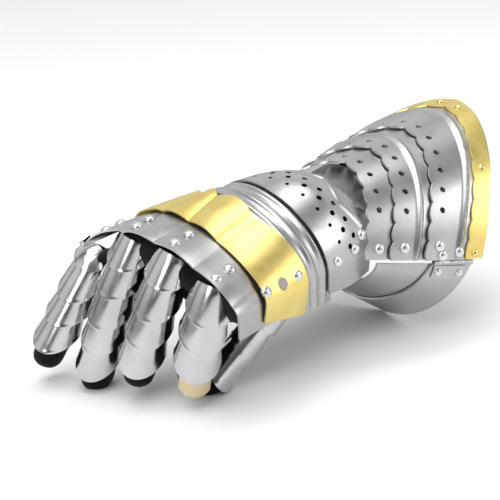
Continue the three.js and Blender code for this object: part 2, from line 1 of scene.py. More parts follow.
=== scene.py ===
"""Armoured gauntlet: steel lames, brass trim and a black suede glove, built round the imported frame."""
import math

import bmesh
import bpy
import numpy as np
from mathutils import Matrix, Vector, noise


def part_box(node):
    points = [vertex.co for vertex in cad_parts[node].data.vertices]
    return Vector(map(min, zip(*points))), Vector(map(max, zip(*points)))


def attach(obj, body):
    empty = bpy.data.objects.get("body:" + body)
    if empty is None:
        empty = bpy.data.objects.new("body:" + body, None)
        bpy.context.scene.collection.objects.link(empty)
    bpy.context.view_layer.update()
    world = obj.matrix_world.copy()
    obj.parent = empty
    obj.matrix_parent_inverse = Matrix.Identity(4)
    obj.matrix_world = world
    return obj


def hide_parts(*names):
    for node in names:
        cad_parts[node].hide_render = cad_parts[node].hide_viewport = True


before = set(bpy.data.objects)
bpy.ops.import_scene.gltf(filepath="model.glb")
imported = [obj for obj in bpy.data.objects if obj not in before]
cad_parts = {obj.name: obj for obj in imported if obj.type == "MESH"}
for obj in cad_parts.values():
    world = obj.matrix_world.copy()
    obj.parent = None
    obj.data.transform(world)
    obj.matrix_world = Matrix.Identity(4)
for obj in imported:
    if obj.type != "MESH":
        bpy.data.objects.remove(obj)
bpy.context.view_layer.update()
BODY = "gauntlet_body"
INNER_BODY = "inner_cuff"

# ------------------------------------------------------------------ dimensions, in millimetres and degrees
# Thicknesses of the sheets, and radius and height of the rivets' heads
STEEL, BRASS, SCALE_STEEL = 1.2, 1.0, 1.0
RIVET, SMALL_RIVET, FLAT_RIVET = (3.6, 2.4), (2.6, 1.7), (4.4, 1.2)
RIVET_SHAPE = dict(sunk=0.5, collar=0.12, button_edge=0.22)

# The cuff: angles go round its section from the crest, x runs along it from the rear rim
LAYER = 2.4
CUFF = dict(tilt=12.2, roll=5.5, half_width=71.6, width_slope=0.12, width_bend=-0.0008, height=84.0,
            height_slope=0.33, depth=70.5, depth_slope=0.42, centre_slope=0.04, keel=1.2,
            lower_edge=87.0, edge_power=1.5)
LAMES = dict(
    cuff_front_lame=dict(front=-101.9, sweep=16.0, rear=-70.0, rear_sweep=18.0, layer=0, scallops=6,
                         holes=4),
    cuff_middle_lame=dict(front=-81.2, sweep=21.0, rear=-40.0, rear_sweep=25.0, layer=1, scallops=7,
                          holes=5, bead=17.0),
    cuff_rear_plate=dict(front=-51.3, sweep=27.5, rear=0.0, rear_sweep=34.7, layer=2, scallops=8,
                         holes=6, bead_from_rear=21.0),
)
SCALLOP, BEAD_HEIGHT, BEAD_HALF, CUFF_HOLE, HOLE_BACK = 1.8, 1.5, 3.0, 2.0, 7.0
EDGE_RIVET = dict(inset=8.0, back=8.0)
REAR_PLATE_RIVETS = dict(front_inset=2.6, front_back=11.0, rear_inset=4.0, rear_ahead=6.0)
BAND = dict(width=12.5, inset=2.0, gap=0.35, scallop=1.3, scallops=9, end_gap=0.3, rivets=(6, 44, 84))
INNER = dict(start=91.0, offset=0.2, rear=-33.0, rear_hollow=9.5, rear_waves=1.7, seam=-69.0,
             seam_hollow=7.0, seam_waves=2.0, front=-108.0, step=1.7, lap=8.0)
HINGE = dict(start=-71.0, end=-40.0, angle=-89.0, offset=2.4, radius=1.8, knuckles=5, end_part=0.01)
# The rounded ends of each rolled knuckle: distance from its end, and share of the full radius
KNUCKLE_ENDS = ((0, 0.8), (0.15, 0.97), (0.4, 1))
LEAF = dict(thickness=0.9, gap=0.35, start=-68.0, end=-43.0, clear=0.8, width=10.8,
            rivets=((-97.5, -64), (-97.5, -47)))

# The hand: angles go round its back, stations run from the wrist to the fingers
HAND = dict(position=(-120.6, -1.5, -4.5), pitch=14.4, yaw=-3.8, roll=16.5)
# Sections along the hand: station, top line, line of greatest width, half width, shift, palm depth
SECTIONS = np.array([
    (-40, -21.0, -46.0, 38.5, -5.0, 20), (-16, -20.5, -46.0, 39.5, -5.0, 20),
    (4, -17.5, -46.5, 39.0, -5.0, 21), (18, -10.2, -46.0, 40.7, -4.6, 23),
    (34, -2.6, -43.5, 44.5, -2.4, 26), (55, -1.2, -38.5, 48.6, 0.0, 30),
    (80, 0.0, -31.0, 52.4, 0.0, 30), (108, 0.3, -22.5, 54.7, 0.0, 30),
    (136, 4.5, -13.5, 55.5, -3.6, 30), (160, 6.0, -10.0, 55.5, -4.0, 30)], float)
TOP_LINE, WIDE_LINE, HALF_WIDTH, SHIFT, PALM = 1, 2, 3, 4, 5
SIDE_DROP = dict(near=1.7, far=1.2)
HAND_LAYER = dict(wrist=-2.1, hand=0.0, fluted=-2.1, brass=0.0, knuckle=-1.7, glove=-4.2)
WRIST_LAME = dict(reach=92, rear=-14.0, lap=8.0, ridge=0.7, ridge_half=1.6,
                  ridge_at=((0, 31, 54, 92), (13, 11, 5, 2)))
HAND_PLATE = dict(sides=(-104, 96), rear_at=((0, 34, 69, 104), (13, 22, 12, 17)), front=55.0,
                  ridge=1.1, ridge_half=2.6, ridge_reach=70, rivets=((66.5, 21), (77, 30), (80, 46)))
# Rows of holes: station, last angle, radius
HOLE_ROWS = ((30.5, 64, 1.8), (36.5, 72, 1.8), (43.5, 64, 1.3))
HOLE_STEP, HOLE_SLANT, HOLE_SWEEP = 16, 7, 3
FLUTED_LAME = dict(sides=(-112, 96), stations=(51, 86), ridge=1.5,
                   peaks=((58.5, 3.0), (67.0, 3.0), (74.5, 2.5)))
# Plates of lobes: rear and front give the angle of each crease at that edge
BRASS_PLATE = dict(rear=(-112, -10, 25, 42, 92), front=(-112, -13, 14.5, 41.5, 92), start=80, end=109,
                   start_bow=4, sweep=4, slant=0, far_reach=8.0, bulge=2.2, first_bulge=2.2,
                   rear_bulge=1.0, rivets=((-70, 83), (-70, 109)), flat_rivet=(-70, 96),
                   flat_rivet_at=1.2)
KNUCKLE_PLATE = dict(rear=(-116, -58, -16, 13, 44, 92), front=(-127, -67, -19, 15, 46, 92), start=102,
                     end=136, start_bow=0, sweep=5, slant=6, far_reach=14.0, bulge=1.8,
                     first_bulge=0.8, rear_bulge=0.2,
                     rivets=((-36, 119), (-37, 131), (4, 118), (4, 130), (41, 123), (40, 134),
                             (71, 134), (70, 145)))
PLATE_RIVET_AT = 1.0
FAR_SIDE = dict(start=50, width=42)

# The fingers: t runs along a finger from its root
FINGERS = dict(
    index=dict(base=(-134.0, -37.3, -12.6), anchor=0, down=55.8, splay=11.2, curl=0.31, roll=37,
               bend=2.0, start=-5, radius=14.2, bulge=10.6, ends=(20.4, 37.4, 55.3)),
    middle=dict(base=(-140.4, -3.5, -2.9), anchor=0, down=51.5, splay=5.0, curl=0.23, roll=22.3,
                bend=2.0, start=-5, radius=13.8, bulge=11.5, ends=(18.0, 38.8, 56.7, 75.7)),
    ring=dict(base=(-145.5, 27.2, -2.6), anchor=0, down=52.8, splay=2.4, curl=0.18, roll=14.2,
              bend=2.0, start=-2, radius=13.6, bulge=12.7, ends=(19.3, 37.8, 58.5, 76.1, 94.0)),
    pinky=dict(base=(-163.8, 52.6, -28.6), anchor=20, down=47.5, splay=-1.8, curl=0.05, roll=19.5,
               bend=2.4, start=1, radius=13.3, bulge=14.0, ends=(20.2, 42.6, 59.5, 77.8)),
    thumb=dict(base=(-82.0, -46.0, -45.0), anchor=0, down=35, splay=-7, curl=0.05, roll=80,
               bend=1.0, start=-4, radius=11.5, bulge=7.0, ends=(24.0, 46.0, 68.0)),
)
SPINE_STEP = 2
SCALE = dict(reach=102, lap=9, tuck=2.4, first_tuck=1.8, lip=0.12, lip_at=0.97, lip_half=0.06)
INDEX_TIP = dict(start=50, end=66, reach=50, inset=2.0)

# The glove
GLOVE_HAND = dict(rear=-34, front=132, mouth=33.0, taper=9, tucked=2, tuck_end=45, tuck_width=15,
                  closing=((6, 0.8), (4, 3), (1, 8)))
GLOVE_FINGER = dict(start=-3, past_scales=12, tip=9, inset=3.8, pad=1.5, tip_power=0.8,
                    tip_turns=(20, 38, 54, 68, 80, 87))
# Rolls of suede between fingers: a station on each finger, and the roll's radius
BRIDGES = (
    ((("index", 2), ("middle", 1), ("ring", 1), ("pinky", 8)), 9.0),
    ((("index", 8), ("thumb", 22)), 6.5),
)
GLOVE_WALL, GLOVE_VOXEL, QUICK_VOXEL = 1.4, 1.6, 2.4
EASE = dict(factor=0.5, rounds=3)
FOLDS = dict(shake_scale=0.05, shake=0.5, octaves=3, waves=0.55, drift=2.5, depth=0.14, sunk=0.4)

# How finely things are cut: columns and rows of a sheet or a lobe, or sides and rings of a round form
FINE = dict(scallop=12, lame=56, band=10, inner=(141, 14), leaf=(15, 20), wrist=(121, 24), hand=(221, 44),
            fluted=(141, 71), lobe=(22, 20), scale=(45, 30), tip=(25, 16), dome=(28, 7), barrel=24,
            glove_hand=(48, 24), glove_finger=(28, 12), bridge=(24, 8))
SHARP_ANGLE = 32
# Millimetres of the flat map for each degree round a plate and round a finger
PLATE_DEGREE, FINGER_DEGREE = 1.2, 0.25

# ------------------------------------------------------------------ floor, light and camera
CAMERA = dict(place=(-703.854, -556.778, 209.446), azimuth=-42.398, elevation=19.016, roll=-2.404,
              lens=96.19, sensor=36.0, clip=(0.05, 60.0))
FLOOR_HALF = 12.0
# Name, place, target, size and power
AREA_LIGHTS = (
    ("overhead", (0.1, 0.2, 1.5), (0, 0, 0.08), (1.4, 0.5), 9),
    ("left", (-1.4, -0.5, 0.8), (-0.05, 0, 0.07), (0.4, 1.0), 7),
    ("right", (1.0, -1.2, 0.6), (0.05, 0, 0.07), (0.3, 1.0), 5),
)
SKYLIGHT = dict(energy=1.1, spread=45, lean=(12, -22))
# The light tent's brightness: by height above the horizon, and from the side away from the viewer (0) to the
# viewer's own side (1)
TENT_HEIGHT = ((0.0, 0.3), (0.1, 0.55), (0.28, 1.0), (0.62, 0.95), (0.78, 0.5), (1, 0.8))
TENT_ROUND = ((0.0, 1.0), (0.34, 1.0), (0.45, 0.3), (0.56, 0.95), (0.76, 1.0), (0.88, 0.4), (1, 0.12))
TENT_STRENGTH = 0.95


# ------------------------------------------------------------------ surfaces
def turn(roll, pitch, yaw):
    """Rotation matrix that rolls about X, then pitches about Y, then yaws about Z."""
    roll, pitch, yaw = (Matrix.Rotation(math.radians(angle), 3, axis)
                        for angle, axis in ((roll, "X"), (pitch, "Y"), (yaw, "Z")))
    return np.array(yaw @ pitch @ roll)


CUFF_TURN = turn(CUFF["roll"], CUFF["tilt"], 0)
HAND_TURN = turn(HAND["roll"], -HAND["pitch"], HAND["yaw"])


def cuff_local(angle, x, offset):
    """Point of the cuff's surface in the cuff's own axes."""
    phi = np.radians(angle)
    sine, cosine = np.sin(phi), np.cos(phi)
    upper = CUFF["height"] + CUFF["height_slope"] * x
    lower = CUFF["depth"] + CUFF["depth_slope"] * x
    rise = np.where(cosine > 0, upper, lower)
    keel = np.where(cosine > 0, CUFF["keel"] * (1 - np.abs(sine)) ** 2, 0)
    centre = -CUFF["height"] - CUFF["keel"] + CUFF["centre_slope"] * x
    half = CUFF["half_width"] + CUFF["width_slope"] * x + CUFF["width_bend"] * x * x
    across, height = (half + offset) * sine, centre + (rise + offset) * cosine + keel
    return np.stack(np.broadcast_arrays(x, across, height), -1)


def hinge_middle():
    """Middle of the hinge's axis in the cuff's own axes."""
    ends = [cuff_local(HINGE["angle"], HINGE[k], HINGE["offset"]) for k in ("start", "end")]
    return 0.5 * (ends[0] + ends[1])


# The frame's own hinge barrel says where the cuff lies
barrel_low, barrel_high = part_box("hinge_barrel")
ORIGIN = 500 * np.array(barrel_low + barrel_high) - CUFF_TURN @ hinge_middle()


def cuff_point(angle, x, offset):
    """Point over the cuff in the frame's axes."""
    return cuff_local(np.asarray(angle, float), np.asarray(x, float), offset) @ CUFF_TURN.T + ORIGIN


def hand_world(local):
    """The hand's own axes to the frame's, in millimetres."""
    return local @ HAND_TURN.T + np.array(HAND["position"]) + ORIGIN


def along(column, s):
    """Smooth value of one column of the hand's sections at the stations s."""
    at, value = SECTIONS[:, 0], SECTIONS[:, column]
    last = len(at) - 1
    after, before = np.minimum(np.arange(last + 1) + 1, last), np.maximum(np.arange(last + 1) - 1, 0)
    slope = (value[after] - value[before]) / (at[after] - at[before])
    k = np.clip(np.searchsorted(at, s, side="left") - 1, 0, last - 1)
    span = at[k + 1] - at[k]
    t = np.clip((s - at[k]) / span, 0, 1)
    u = 1 - t
    return (value[k] * u * u * (1 + 2 * t) + slope[k] * span * t * u * u
            + value[k + 1] * t * t * (3 - 2 * t) - slope[k + 1] * span * t * t * u)


def hand_point(angle, s, offset):
    """Point over the back of the hand. Past 90 degrees the surface goes straight down."""
    angle, s = np.broadcast_arrays(np.asarray(angle, float), np.asarray(s, float))
    phi = np.radians(angle)
    past = np.maximum(np.abs(phi) - np.pi / 2, 0)
    inside = np.minimum(np.abs(phi), np.pi / 2)
    drop = past * np.where(angle < 0, SIDE_DROP["near"], SIDE_DROP["far"])
    top = along(TOP_LINE, s)
    height = top - along(WIDE_LINE, s) + offset
    across = along(SHIFT, s) + np.sign(phi) * (along(HALF_WIDTH, s) + offset) * np.sin(inside)
    return hand_world(np.stack([-s, across, top + offset - height * (1 - np.cos(inside) + drop)], -1))


def finger_axes(finger, t):
    """Directions ahead, across and up of a finger at the station t."""
    bent = finger["bend"] * min(t - finger["anchor"], 0)
    down = math.radians(finger["down"] + finger["curl"] * max(t, 0) + bent)
    splay, roll = math.radians(finger["splay"]), math.radians(finger["roll"])
    ahead = np.array([-math.cos(down) * math.cos(splay), -math.cos(down) * math.sin(splay),
                      -math.sin(down)])
    across = np.array([-math.sin(splay), math.cos(splay), 0])
    up = np.cross(across, ahead)
    spin = np.array(Matrix.Rotation(-roll, 3, Vector(ahead)))
    return ahead, spin @ across, spin @ up


def finger_spine(finger, t):
    """Point on the finger's top line at the station t, reached in short steps from its anchor."""
    run = t - finger["anchor"]
    steps = max(2, math.ceil(abs(run) / SPINE_STEP))
    point = np.array(finger["base"], float)
    for k in range(steps):
        point = point + finger_axes(finger, finger["anchor"] + run * (k + 0.5) / steps)[0] * run / steps
    return point


# ------------------------------------------------------------------ meshes
class Mesh:
    """Collects vertices in millimetres, faces with a material number, and a flat map for brushed metal."""

    def __init__(self):
        self.points, self.faces, self.materials, self.maps, self.count = [], [], [], [], 0

    def add(self, points, faces, flat=None, material=0):
        points = np.asarray(points, float)
        flat = points[:, :2] if flat is None else flat
        self.points.append(points)
        self.maps.append(np.asarray(flat, float))
        self.faces.extend([[i + self.count for i in face] for face in faces])
        self.materials.extend([material] * len(faces))
        self.count += len(points)

    def data(self, name):
        """The plain mesh, in metres."""
        mesh = bpy.data.meshes.new(name)
        mesh.from_pydata((np.concatenate(self.points) / 1000).tolist(), [], self.faces)
        return mesh

    def make(self, name, materials, body, replaced, slot):
        """A piece of the scene that rides on a body and stands for nodes of the frame."""
        mesh = self.data(name)
        for material in materials:
            mesh.materials.append(material)
        mesh.polygons.foreach_set("material_index", self.materials)
        flat = np.concatenate(self.maps)
        layer = mesh.uv_layers.new(name="sheet")
        index = np.zeros(len(mesh.loops), np.int32)
        mesh.loops.foreach_get("vertex_index", index)
        layer.data.foreach_set("uv", (flat[index] / 1000).astype(np.float32).ravel())
        mesh.polygons.foreach_set("use_smooth", [True] * len(mesh.polygons))
        mesh.set_sharp_from_angle(angle=math.radians(SHARP_ANGLE))
        mesh.validate()
        mesh.update()
        piece = link(name, mesh)
        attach(piece, body)
        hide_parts(*replaced)


def link(name, data):
    """A new object in the scene."""
    made = bpy.data.objects.new(name, data)
    bpy.context.scene.collection.objects.link(made)
    return made


def outwards(points, faces, middle):
    """The faces, turned round if they look towards the inside."""
    arms = points - middle
    fans = np.array([(face[0], face[k], face[k + 1]) for face in faces for k in range(1, len(face) - 1)])
    volume = np.sum(arms[fans[:, 0]] * np.cross(arms[fans[:, 1]], arms[fans[:, 2]]))
    return faces if volume > 0 else [face[::-1] for face in faces]


def ring_faces(rings, sides, first_cap=True, last_cap=True):
    """Faces of a tube whose points lie ring after ring."""
    faces = []
    for k in range(rings - 1):
        for i in range(sides):
            a, b = k * sides + i, k * sides + (i + 1) % sides
            faces.append([a, b, b + sides, a + sides])
    last = (rings - 1) * sides
    faces += [list(range(sides))[::-1]] if first_cap else []
    faces += [list(range(last, last + sides))] if last_cap else []
    return faces


def closed_sheet(outer, inner, holes=(), snap=0.7, keep=0.25):
    """A sheet with thickness between two grids. A hole is its centres on both grids and its radius.

    The vertices near a hole's rim snap to it, and the faces inside it go."""
    rows = outer.shape[1]
    top, under = outer.reshape(-1, 3).copy(), inner.reshape(-1, 3).copy()
    spacing = 0.5 * (np.linalg.norm(outer[1:] - outer[:-1], axis=-1).mean()
                     + np.linalg.norm(outer[:, 1:] - outer[:, :-1], axis=-1).mean())
    gone = np.zeros(len(top), int)
    for number, (centre, centre_under, radius) in enumerate(holes, 1):
        away = np.linalg.norm(top - centre, axis=1)
        inside = away < radius + snap * spacing
        rim = inside & (away > max(radius - snap * spacing, keep * radius))
        for grid, middle in ((top, centre), (under, centre_under)):
            ray = grid[rim] - middle
            grid[rim] = middle + ray * (radius / np.linalg.norm(ray, axis=1))[:, None]
        gone[inside] = number
    i, j = np.meshgrid(np.arange(outer.shape[0] - 1), np.arange(rows - 1), indexing="ij")
    first = (i * rows + j).ravel()
    quads = np.stack([first, first + rows, first + rows + 1, first + 1], 1)
    marks = gone[quads]
    quads = quads[~((marks[:, 0] > 0) & (marks == marks[:, :1]).all(1))]
    edges = [tuple(edge) for k in range(4) for edge in quads[:, [k, (k + 1) % 4]].tolist()]
    seen = set(edges)
    shift = len(top)
    faces = quads.tolist() + (quads[:, ::-1] + shift).tolist()
    faces += [[b, a, a + shift, b + shift] for a, b in edges if (b, a) not in seen]
    sample = quads[len(quads) // 2]
    normal = np.cross(top[sample[1]] - top[sample[0]], top[sample[3]] - top[sample[0]])
    if np.dot(normal, top[sample[0]] - under[sample[0]]) < 0:
        faces = [face[::-1] for face in faces]
    return np.concatenate([top, under]), faces


def add_sheet(mesh, outer, inner, angles, stations, degree=PLATE_DEGREE, holes=()):
    """Adds a closed sheet with its flat map, and leaves out the points that no face uses."""
    points, faces = closed_sheet(outer, inner, holes)
    flat = np.stack([angles.ravel() * degree, stations.ravel()], 1)
    flat = np.concatenate([flat, flat])
    used = np.unique(np.concatenate([np.array(face) for face in faces]))
    number = np.full(len(points), -1)
    number[used] = np.arange(len(used))
    mesh.add(points[used], [[int(number[i]) for i in face] for face in faces], flat[used])


def patch(mesh, surface, angles, stations, offset, thickness, lift=0.0, holes=()):
    """Adds a sheet over a surface: angles (n), stations (n, m), and a lift (n, m) for raised work."""
    grid = np.broadcast_to(angles[:, None], stations.shape)
    outer = surface(grid, stations, offset + lift)
    inner = surface(grid, stations, offset + lift - thickness)
    cuts = [(surface(a, s, offset), surface(a, s, offset - thickness), r) for a, s, r in holes]
    add_sheet(mesh, outer, inner, grid, stations, holes=cuts)


def dome(point, normal, size, flat_top):
    """A rivet's head: a low dome, or a flat button with a rounded edge."""
    radius, height = size
    segments, rings = FINE["dome"]
    collar, rise = RIVET_SHAPE["collar"] * height, (1 - RIVET_SHAPE["collar"]) * height
    side = np.cross(normal, (0.3, 0.9, 0.2))
    side /= np.linalg.norm(side)
    other = np.cross(normal, side)
    profile = [(radius, -RIVET_SHAPE["sunk"]), (radius, collar)]
    for k in range(1, rings + 1 if flat_top else rings):
        turned = 0.5 * math.pi * k / rings
        if flat_top:
            profile.append((radius - RIVET_SHAPE["button_edge"] * radius * math.sin(turned),
                            collar + rise * (1 - math.cos(turned)) ** 0.5))
        else:
            profile.append((radius * math.cos(turned), collar + rise * math.sin(turned)))
    around = np.linspace(0, 2 * math.pi, segments, endpoint=False)
    points = [point + normal * h + (side * math.cos(a) + other * math.sin(a)) * r
              for r, h in profile for a in around]
    points = np.array(points + [point + normal * height])
    last = (len(profile) - 1) * segments
    faces = ring_faces(len(profile), segments, last_cap=False)
    faces += [[last + i, last + (i + 1) % segments, len(points) - 1] for i in range(segments)]
    return points, outwards(points, faces, point)


def spot(surface, angle, station, offset, near=0.5):
    """Point and outward normal on a surface, from the points near it on four sides."""
    point = surface(angle, station, offset)
    normal = np.cross(surface(angle + near, station, offset) - surface(angle - near, station, offset),
                      surface(angle, station + near, offset) - surface(angle, station - near, offset))
    normal /= np.linalg.norm(normal)
    if np.dot(normal, surface(angle, station, offset + 1) - point) < 0:
        normal = -normal
    return point, normal


def rivets(mesh, surface, offset, places, size=RIVET, material=1, flat_top=False):
    for angle, station in places:
        point, normal = spot(surface, angle, station, offset)
        mesh.add(*dome(point, normal, size, flat_top), material=material)


def hump(distance, half):
    """A rounded ridge, 1 in the middle and 0 beyond its half width."""
    near = np.clip(np.abs(distance) / half, 0, 1)
    return 0.5 * (1 + np.cos(np.pi * near))


def spread(start, end, steps):
    """Stations (n, steps + 1) from start to end, each a number or one value for each angle."""
    start, end = np.broadcast_arrays(np.asarray(start, float), end)
    return start[:, None] + (end - start)[:, None] * np.linspace(0, 1, steps + 1)[None, :]


# ------------------------------------------------------------------ materials
class Nodes:
    """Short ways to build the nodes of a material or of the world."""

    def __init__(self, owner):
        owner.use_nodes = True
        self.owner, self.tree = owner, owner.node_tree
        self.source = self.node("ShaderNodeTexCoord")

    def node(self, kind, links=None, **settings):
        made = self.tree.nodes.new(kind)
        for key, value in settings.items():
            setattr(made, key, value)
        for socket, source in (links or {}).items():
            self.feed(made.inputs[socket], source)
        return made

    def feed(self, socket, value):
        if isinstance(value, bpy.types.NodeSocket):
            self.tree.links.new(value, socket)
        else:
            socket.default_value = value

    def set(self, **sockets):
        for name, value in sockets.items():
            self.feed(self.tree.nodes["Principled BSDF"].inputs[name.replace("_", " ")], value)

    def place(self, coordinate="Object", scale=(1, 1, 1)):
        links = {"Vector": self.source.outputs[coordinate], "Scale": scale}
        return self.node("ShaderNodeMapping", links).outputs["Vector"]

    def noise(self, vector, scale, detail=3.0, roughness=0.5):
        links = {"Vector": vector, "Scale": scale, "Detail": detail, "Roughness": roughness}
        return self.node("ShaderNodeTexNoise", links).outputs["Fac"]

    def ramp(self, value, stops):
        made = self.node("ShaderNodeValToRGB", {"Fac": value})
        elements = made.color_ramp.elements
        while len(elements) < len(stops):
            elements.new(0.5)
        for element, (position, colour) in zip(elements, stops):
            element.position, element.color = position, (*colour, 1)
        return made.outputs["Color"]

    def range(self, value, low, high, start=0.0, end=1.0):
        links = {"Value": value, "From Min": start, "From Max": end, "To Min": low, "To Max": high}
        return self.node("ShaderNodeMapRange", links).outputs["Result"]

    def mix(self, first, second, share):
        """The first value by its share, and the second by the rest."""
        parts = [self.node("ShaderNodeMath", {0: value, 1: weight}, operation="MULTIPLY").outputs["Value"]
                 for value, weight in ((first, share), (second, 1 - share))]
        return self.node("ShaderNodeMath", {0: parts[0], 1: parts[1]}, operation="ADD").outputs["Value"]

    def bump(self, height, strength, distance, normal=None):
        links = {"Height": height, "Strength": strength, "Distance": distance}
        if normal is not None:
            links["Normal"] = normal
        return self.node("ShaderNodeBump", links).outputs["Normal"]


def metal(name, dark, light, roughness, brushed=0.05, dents=0.0006):
    """Sheet metal: cloudy polish, brush lines round the plate, faint dents and handling smudges."""
    made = Nodes(bpy.data.materials.new(name))
    here = made.place()
    lines = made.noise(made.place("UV", (18, 2600, 1)), scale=1.0, detail=2.0)
    clouds = made.noise(here, scale=28.0, detail=4.0, roughness=0.6)
    smudges = made.noise(here, scale=90.0, detail=5.0, roughness=0.65)
    wavy = made.bump(made.noise(here, scale=14.0, detail=1.5), strength=0.35, distance=dents)
    made.set(Metallic=1.0,
             Base_Color=made.ramp(made.mix(clouds, smudges, 0.6), [(0.3, dark), (0.72, light)]),
             Roughness=made.range(made.mix(lines, smudges, 0.35), *roughness, start=0.3, end=0.75),
             Normal=made.bump(lines, strength=brushed, distance=0.00006, normal=wavy))
    return made.owner


def suede():
    made = Nodes(bpy.data.materials.new("black_suede"))
    here = made.place()
    nap = made.noise(here, scale=1500.0, roughness=0.7)
    rubs = made.noise(here, scale=55.0, detail=4.0, roughness=0.6)
    grain = made.bump(made.noise(here, scale=160.0, detail=4.0), strength=0.5, distance=0.0012)
    made.set(Base_Color=made.ramp(rubs, [(0.35, (0.003, 0.003, 0.0035)), (0.75, (0.011, 0.011, 0.012))]),
             Roughness=made.range(nap, 0.8, 1.0), Specular_IOR_Level=0.15,
             Sheen_Weight=0.06, Sheen_Roughness=0.5,
             Normal=made.bump(nap, strength=0.6, distance=0.0004, normal=grain))
    return made.owner


SMALL_PART = dict(brushed=0.02, dents=0.0002)
steel = metal("polished_steel", (0.40, 0.40, 0.405), (0.52, 0.52, 0.525), (0.27, 0.42),
              brushed=0.08, dents=0.0004)
inner_steel = metal("dull_inner_steel", (0.40, 0.40, 0.395), (0.50, 0.50, 0.49), (0.34, 0.48))
scale_steel = metal("mirror_steel", (0.46, 0.46, 0.47), (0.64, 0.64, 0.65), (0.12, 0.24), dents=0.0005)
dull_rivet = metal("dull_rivet", (0.22, 0.20, 0.19), (0.32, 0.29, 0.27), (0.4, 0.55), **SMALL_PART)
rivet_steel = metal("bright_rivet_steel", (0.60, 0.60, 0.61), (0.74, 0.74, 0.75), (0.2, 0.32), **SMALL_PART)
brass = metal("satin_brass", (0.68, 0.53, 0.14), (0.86, 0.71, 0.27), (0.3, 0.46))
brass_rivet = metal("brass_rivet", (0.70, 0.54, 0.18), (0.88, 0.74, 0.34), (0.14, 0.25), **SMALL_PART)
pale_brass = metal("pale_brass", (0.56, 0.46, 0.28), (0.74, 0.64, 0.42), (0.25, 0.4))
black_suede = suede()


# ------------------------------------------------------------------ cuff
def sweep_at(angle):
    """How far towards the hand an edge has swept at an angle, from 0 at the crest to 1."""
    return np.sin(np.minimum(np.abs(np.radians(angle)), np.pi / 2)) ** CUFF["edge_power"]


def scallop_at(angle, count, height):
    """How far a scalloped edge stands out, with count scallops on each side of the crest."""
    place = np.abs(angle) / CUFF["lower_edge"] * count
    within = place - np.floor(np.minimum(place, count - 1e-6))
    return height * bowed(within)


def bowed(within):
    """A bow over 0 to 1, with 1 in its middle."""
    return 1 - (2 * within - 1) ** 2


def front_of(lame, angle):
    return lame["front"] - lame["sweep"] * sweep_at(angle)


def rear_of(lame, angle):
    return lame["rear"] - lame["rear_sweep"] * sweep_at(angle)


def scalloped_angles(edge, scallops):
    return np.linspace(-edge, edge, 2 * scallops * FINE["scallop"] + 1)


def both_sides(places):
    """Each place and its mirror image across the crest."""
    return [(side * angle, station) for angle, station in places for side in (-1, 1)]


def cuff_lame(name, lame):
    edge = CUFF["lower_edge"]
    angles = scalloped_angles(edge, lame["scallops"])
    front, rear = front_of(lame, angles), rear_of(lame, angles)
    stations = spread(front - scallop_at(angles, lame["scallops"], SCALLOP), rear, FINE["lame"])
    lift = 0.0
    if "bead" in lame:
        lift = BEAD_HEIGHT * hump(stations - (front + lame["bead"])[:, None], BEAD_HALF)
    if "bead_from_rear" in lame:
        lift = BEAD_HEIGHT * hump(stations - (rear - lame["bead_from_rear"])[:, None], BEAD_HALF)
    holes = []
    for k in range(lame["holes"]):
        angle = edge * (k + 0.5) / lame["scallops"]
        holes += [(*place, CUFF_HOLE) for place in both_sides([(angle, front_of(lame, angle) + HOLE_BACK)])]
    mesh = Mesh()
    offset = lame["layer"] * LAYER
    patch(mesh, cuff_point, angles, stations, offset, STEEL, lift, holes)
    low = edge - EDGE_RIVET["inset"]
    places = [(low, front_of(lame, low) + EDGE_RIVET["back"])]
    if name == "cuff_rear_plate":
        more = REAR_PLATE_RIVETS
        band_edge = rear_of(lame, low) - BAND["inset"] - BAND["width"]
        places.append((edge - more["front_inset"], front_of(lame, low) + more["front_back"]))
        places.append((edge - more["rear_inset"], band_edge - more["rear_ahead"]))
    rivets(mesh, cuff_point, offset, both_sides(places))
    mesh.make(name + "_plate", [steel, rivet_steel], BODY, [name], "steel")


def brass_band():
    plate = LAMES["cuff_rear_plate"]
    angles = scalloped_angles(CUFF["lower_edge"] - BAND["end_gap"], BAND["scallops"])
    rear = rear_of(plate, angles) - BAND["inset"]
    front = rear - BAND["width"] - scallop_at(angles, BAND["scallops"], BAND["scallop"])
    offset = plate["layer"] * LAYER + BAND["gap"] + BRASS
    mesh = Mesh()
    patch(mesh, cuff_point, angles, spread(front, rear, FINE["band"]), offset, BRASS)
    places = [(angle, rear_of(plate, angle) - BAND["inset"] - 0.5 * BAND["width"])
              for angle in BAND["rivets"]]
    rivets(mesh, cuff_point, offset, both_sides(places), SMALL_RIVET)
    mesh.make("cuff_brass_trim", [brass, brass_rivet], BODY, ["cuff_brass_band"], "brass")


def from_bottom(angle):
    """How far an angle is from the bottom of the section, in radians."""
    return np.radians(np.abs(180 - np.abs(angle)))


